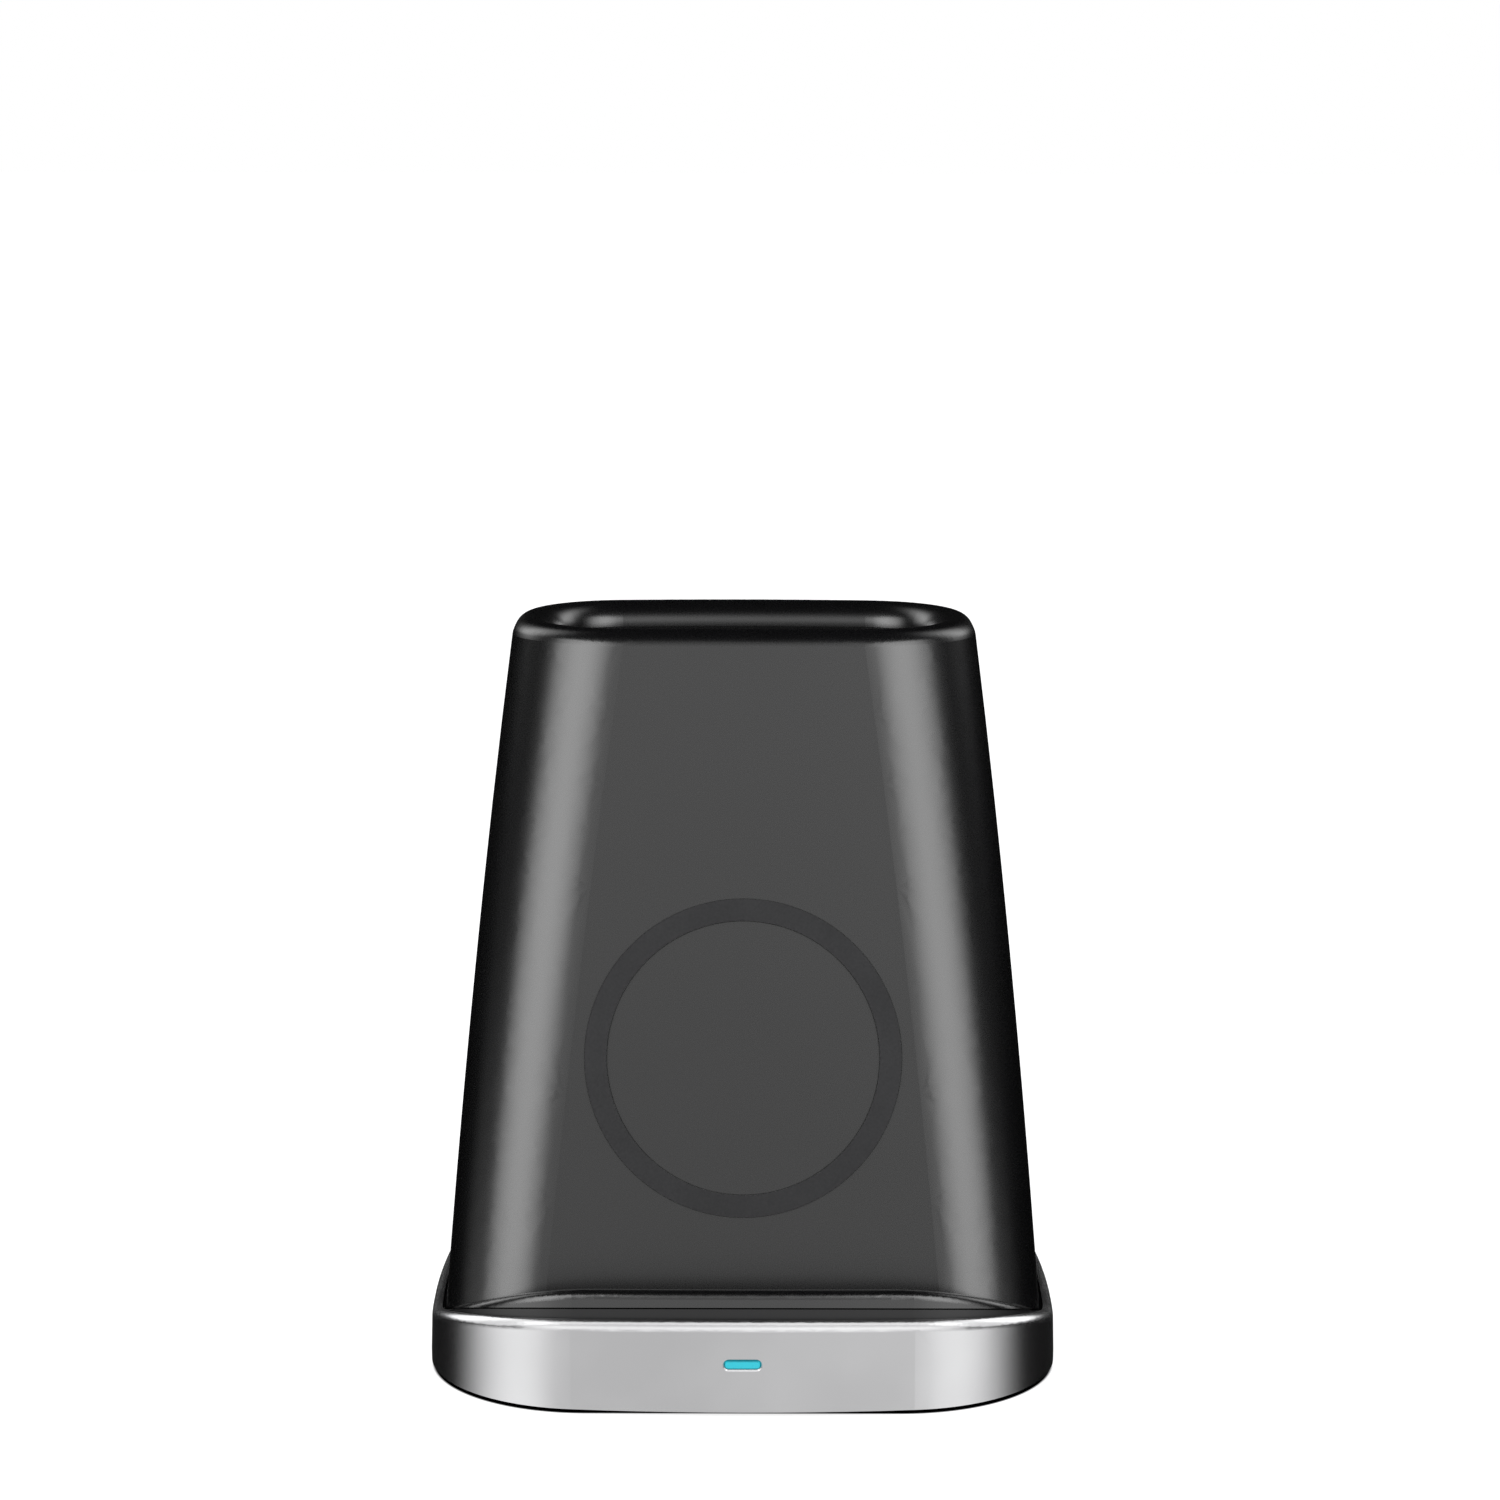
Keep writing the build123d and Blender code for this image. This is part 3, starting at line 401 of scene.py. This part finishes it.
# Inner frame: polycarbonate blend, moulded and left satin, as black as the body but duller

framing = dict(body, smooth=0.34, rough=0.42)
finishPieces("satinBlend", {"IOR": 1.5}, framing, "base_frame")

# Bottom cover: ABS with a spark-eroded texture, coarse and dull

cover = {
    "dark": "#19191A",
    "light": "#1E1E1F",
    "cloudSize": 18.0,
    "grainSize": 0.45,
    "grainDepth": 0.03,
    "bump": 0.5,
    "smooth": 0.55,
    "rough": 0.7,
}
finishPieces("erodedAbs", {"IOR": 1.5}, cover, "bottom_cover")

# Cup mat: closed-cell EVA foam, cut from sheet, whose cells show as small pits

foam = {
    "dark": "#161617",
    "light": "#202021",
    "cloudSize": 6.0,
    "grainSize": 0.8,
    "grainDepth": 0.08,
    "bump": 0.7,
    "smooth": 0.85,
    "rough": 0.95,
}
finishPieces("evaFoam", {"IOR": 1.45, "Specular IOR Level": 0.35}, foam, "cup_mat")

# Silver ring: aluminium, bead blasted and anodised clear, so it is a soft even grey with fine grit

ring = {
    "dark": "#B5B5B6",
    "light": "#BDBDBE",
    "cloudSize": 25.0,
    "grainSize": 0.25,  # the beads leave pits of about 0.1 mm, drawn coarser so that they show
    "grainDepth": 0.006,
    "bump": 0.3,
    "smooth": 0.23,
    "rough": 0.27,
}
finishPieces("blastedAluminium", {"Metallic": 1.0}, ring, "base_ring")

# Status light: acrylic light pipe, moulded and frosted, lit from behind, darker at top and bottom with
# painted shade of its recess

light = {
    # edge: colour of the painted shade that the recess casts along the top and bottom
    "edge": "#1A6976",
    "middle": "#2CC6D8",
    "shade": 0.42,  # how much of the colour the acrylic has unlit
    "glow": 0.7,
    "level": 7.2,  # height of the light's middle
    "halfHeight": 0.7,
    "speckleSize": 0.3,
    "speckleShare": 0.12,  # how far the speckle shifts the colours upwards
    "grainDepth": 0.01,
    "bump": 0.3,
    "smooth": 0.25,
    "rough": 0.4,
}
frostedAcrylic, tree, surface = startMaterial(
    "frostedAcrylic", {"IOR": 1.49, "Emission Strength": light["glow"]}
)
place = objectPlace(tree, (0, 0, light["level"] * mm))
height = addNode(tree, "ShaderNodeSeparateXYZ", links={0: place}).outputs["Z"]
half = light["halfHeight"] * mm
slotReach = {"From Min": -half, "From Max": half}
upness = addNode(tree, "ShaderNodeMapRange", slotReach, {"Value": height}).outputs["Result"]
speckles = {"Scale": 1 / (light["speckleSize"] * mm), "Detail": 2.0}
speckle = addNode(tree, "ShaderNodeTexNoise", speckles, {"Vector": place}).outputs["Fac"]
shift = {"operation": "MULTIPLY_ADD", 1: light["speckleShare"]}
mottled = addNode(tree, "ShaderNodeMath", shift, {0: speckle, 2: upness}).outputs["Value"]
# the edge colour at both ends is painted recess shade, the middle is the lit acrylic
slotColours = [(0.06, light["edge"]), (0.3, light["middle"]), (0.8, light["middle"]), (1.0, light["edge"])]
lit = addNode(tree, "ShaderNodeValToRGB", links={"Fac": mottled}, stops=slotColours).outputs["Color"]
unlit = addNode(tree, "ShaderNodeVectorMath", {"operation": "SCALE", "Scale": light["shade"]}, {0: lit})
tree.links.new(unlit.outputs["Vector"], surface.inputs["Base Color"])
tree.links.new(lit, surface.inputs["Emission Color"])
finishGrain(tree, surface, light, speckle, speckle)
dress(frostedAcrylic, "light_pipe")

# Pads and feet: silicone and nitrile rubber, press moulded, matt, the silicone with a soft sheen

pads = {
    "dark": "#18181A",
    "light": "#1F1F21",
    "cloudSize": 9.0,
    "grainSize": 0.35,
    "grainDepth": 0.02,
    "bump": 0.4,
    "smooth": 0.6,
    "rough": 0.75,
}
softSheen = {"IOR": 1.41, "Sheen Weight": 0.08, "Sheen Roughness": 0.5}
finishPieces("mattSilicone", softSheen, pads, "rest_pad", "ledge_pad")
feet = dict(pads, dark="#121213", light="#191919", grainSize=0.5, smooth=0.75, rough=0.88)
footNames = ("foot_front_left", "foot_front_right", "foot_rear_left", "foot_rear_right")
finishPieces("nitrileRubber", {"IOR": 1.52, "Specular IOR Level": 0.4}, feet, *footNames)
print("outer finishes set")

# Screws: carbon steel, cold headed and zinc plated, a cool grey with a faint cloud

screws = {
    "dark": "#8B8D90",
    "light": "#A3A5A8",
    "cloudSize": 1.6,
    "grainSize": 0.3,
    "grainDepth": 0.008,
    "bump": 0.3,
    "smooth": 0.28,
    "rough": 0.42,
}
finishPieces("zincPlate", {"Metallic": 1.0}, screws, "case_screws", "board_screws", "bracket_screws")

# Ballast: steel strip, cold rolled, with the streaks of the rolls along its length

ballast = dict(screws, dark="#77797B", light="#8F9193", cloudSize=9.0, grainSize=0.5, smooth=0.32, rough=0.5)
rolledSteel, tree, surface = startMaterial("rolledSteel", {"Metallic": 1.0})
streaks = {"Scale": (1.0, 0.06, 1.0)}  # drawn out along Y
rolled = addNode(tree, "ShaderNodeMapping", streaks, {"Vector": objectPlace(tree)}).outputs["Vector"]
finishSurface(tree, surface, ballast, rolled)
dress(rolledSteel, "ballast_plate")

# Circuit board: glass laminate under green solder mask, with copper tracks that lift the mask

board = {
    "mask": "#0E4A2B",
    "track": "#1B6A3C",
    "trackSize": 14.4,  # at this size the tracks lie about 6.4 mm apart, coarse so that they show
    "trackBend": 6.0,
    "weaveSize": 0.4,
    "weaveShare": 0.15,  # how much the weave lifts the mask, beside the tracks
    "grainDepth": 0.035,
    "bump": 0.4,
    "smooth": 0.28,
    "rough": 0.38,
}
solderMask, tree, surface = startMaterial("solderMask", {"IOR": 1.5})
place = {"Vector": objectPlace(tree)}
bands = {
    "bands_direction": "DIAGONAL",
    "Scale": 1 / (board["trackSize"] * mm),
    "Distortion": board["trackBend"],
    "Detail": 0.0,
}
tracks = addNode(tree, "ShaderNodeTexWave", bands, place).outputs["Fac"]
threads = {"Scale": 1 / (board["weaveSize"] * mm), "Detail": 2.0}
weave = addNode(tree, "ShaderNodeTexNoise", threads, place).outputs["Fac"]
maskColours = [(0.55, board["mask"]), (0.62, board["track"])]
masked = addNode(tree, "ShaderNodeValToRGB", links={"Fac": tracks}, stops=maskColours)
tree.links.new(masked.outputs["Color"], surface.inputs["Base Color"])
lift = {"operation": "MULTIPLY_ADD", 1: board["weaveShare"]}
raised = addNode(tree, "ShaderNodeMath", lift, {0: weave, 2: tracks}).outputs["Value"]
finishGrain(tree, surface, board, weave, raised)
dress(solderMask, "main_board")

# Chips: epoxy compound, transfer moulded, matt near-black

chips = dict(pads, dark="#161616", light="#1C1C1D", cloudSize=2.0, grainSize=0.15, smooth=0.5, rough=0.65)
finishPieces("mouldedEpoxy", {"IOR": 1.55}, chips, "control_chip", "driver_chips")

# Inductor: iron powder pressed round its winding, dark grey and slightly grainy

powder = dict(pads, dark="#393A3C", light="#48494B", cloudSize=1.5, grainSize=0.2, smooth=0.55, rough=0.75)
finishPieces("pressedPowder", {"IOR": 1.7}, powder, "power_inductor")

# Capacitors: sintered ceramic, a warm tan

ceramic = dict(pads, dark="#9A7A54", light="#AD8C66", cloudSize=1.2, grainSize=0.2, smooth=0.3, rough=0.45)
finishPieces("sinteredCeramic", {"IOR": 1.6}, ceramic, "resonant_capacitors")

# Socket: stainless strip, stamped, rolled and nickel plated, with a black nylon tongue

nickel = dict(screws, dark="#A9A7A2", light="#BDBBB6", cloudSize=2.5, smooth=0.2, rough=0.32)
finishPieces("nickelPlate", {"Metallic": 1.0}, nickel, "socket_shell")
tongue = dict(pads, dark="#141414", light="#191919", cloudSize=1.5, grainSize=0.15, smooth=0.4, rough=0.55)
finishPieces("filledNylon", {"IOR": 1.53}, tongue, "socket_tongue")

# Lamp on the board: cast epoxy over a white cup, yellowish where the phosphor sits

phosphor = dict(pads, dark="#C9C58A", light="#DEDCB4", cloudSize=0.6, grainSize=0.15, smooth=0.15, rough=0.3)
finishPieces("castEpoxy", {"IOR": 1.53}, phosphor, "status_lamp")

# Coils: enamelled copper wire, wound flat, so the turns show as fine rings round the coil's middle, with
# painted shade in the grooves between them

winding = {
    # shade: colour of the painted shade in the grooves between the turns
    "shade": "#6E3A1C",
    "wire": "#B8693A",
    "turnPitch": 0.8,
    "lean": 14.4,  # degrees that the coils lean back
    "enamelSize": 3.0,
    "grainDepth": 0.2,
    "bump": 0.8,
    "smooth": 0.26,
    "rough": 0.4,
}
for name in ("coil_upper", "coil_lower"):
    low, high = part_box(name)
    enamelledCopper, tree, surface = startMaterial("enamelledCopper_" + name, {"Metallic": 1.0})
    place = {"Vector": objectPlace(tree, (low + high) / 2, math.radians(winding["lean"] - 90))}
    rings = {
        "wave_type": "RINGS",
        "rings_direction": "Z",
        # at a scale of 1 the rings lie pi / 10 apart
        "Scale": math.pi / (winding["turnPitch"] * mm) / 10,
        "Distortion": 0.0,
    }
    turns = addNode(tree, "ShaderNodeTexWave", rings, place).outputs["Fac"]
    enamels = {"Scale": 1 / (winding["enamelSize"] * mm), "Detail": 3.0}
    enamel = addNode(tree, "ShaderNodeTexNoise", enamels, place).outputs["Fac"]
    wireColours = [(0.1, winding["shade"]), (0.6, winding["wire"])]
    copper = addNode(tree, "ShaderNodeValToRGB", links={"Fac": turns}, stops=wireColours)
    tree.links.new(copper.outputs["Color"], surface.inputs["Base Color"])
    finishGrain(tree, surface, winding, enamel, turns)
    dress(enamelledCopper, name)

# Ferrite sheet: sintered and diced under film, dark with hairline cracks

ferrite = {
    "tile": "#2B2A2B",
    "crack": "#171617",
    "tileSize": 2.2,
    "hazeSize": 1.5,
    "grainDepth": 0.03,
    "bump": 0.4,
    "smooth": 0.35,
    "rough": 0.5,
}
dicedFerrite, tree, surface = startMaterial("dicedFerrite", {"IOR": 1.8})
place = {"Vector": objectPlace(tree)}
dicing = {"feature": "DISTANCE_TO_EDGE", "Scale": 1 / (ferrite["tileSize"] * mm)}
tiles = addNode(tree, "ShaderNodeTexVoronoi", dicing, place).outputs["Distance"]
haze = addNode(tree, "ShaderNodeTexNoise", {"Scale": 1 / (ferrite["hazeSize"] * mm)}, place).outputs["Fac"]
tileColours = [(0.02, ferrite["crack"]), (0.06, ferrite["tile"])]
diced = addNode(tree, "ShaderNodeValToRGB", links={"Fac": tiles}, stops=tileColours)
tree.links.new(diced.outputs["Color"], surface.inputs["Base Color"])
finishGrain(tree, surface, ferrite, haze, tiles)
dress(dicedFerrite, "ferrite_sheet")

# Coil bracket: natural nylon, moulded, milky with flow clouds

bracket = dict(pads, dark="#C4C0B4", light="#D3D0C6", cloudSize=8.0, grainSize=0.4, smooth=0.4, rough=0.52)
milky = {"IOR": 1.53, "Subsurface Weight": 0.1, "Subsurface Radius": (0.001, 0.001, 0.0008)}
finishPieces("naturalNylon", milky, bracket, "coil_bracket")

# Leads and sensor: silicone sleeve and dipped epoxy

sleeve = dict(pads, dark="#7A1713", light="#90211B", cloudSize=3.0, grainSize=0.3, smooth=0.45, rough=0.6)
finishPieces("leadSleeve", {"IOR": 1.41}, sleeve, "coil_lower_leads", "coil_upper_leads")
dip = dict(pads, dark="#171311", light="#1F1A17", cloudSize=1.0, grainSize=0.25, smooth=0.2, rough=0.35)
finishPieces("dippedEpoxy", {"IOR": 1.53}, dip, "thermistor")
print("inner finishes set")
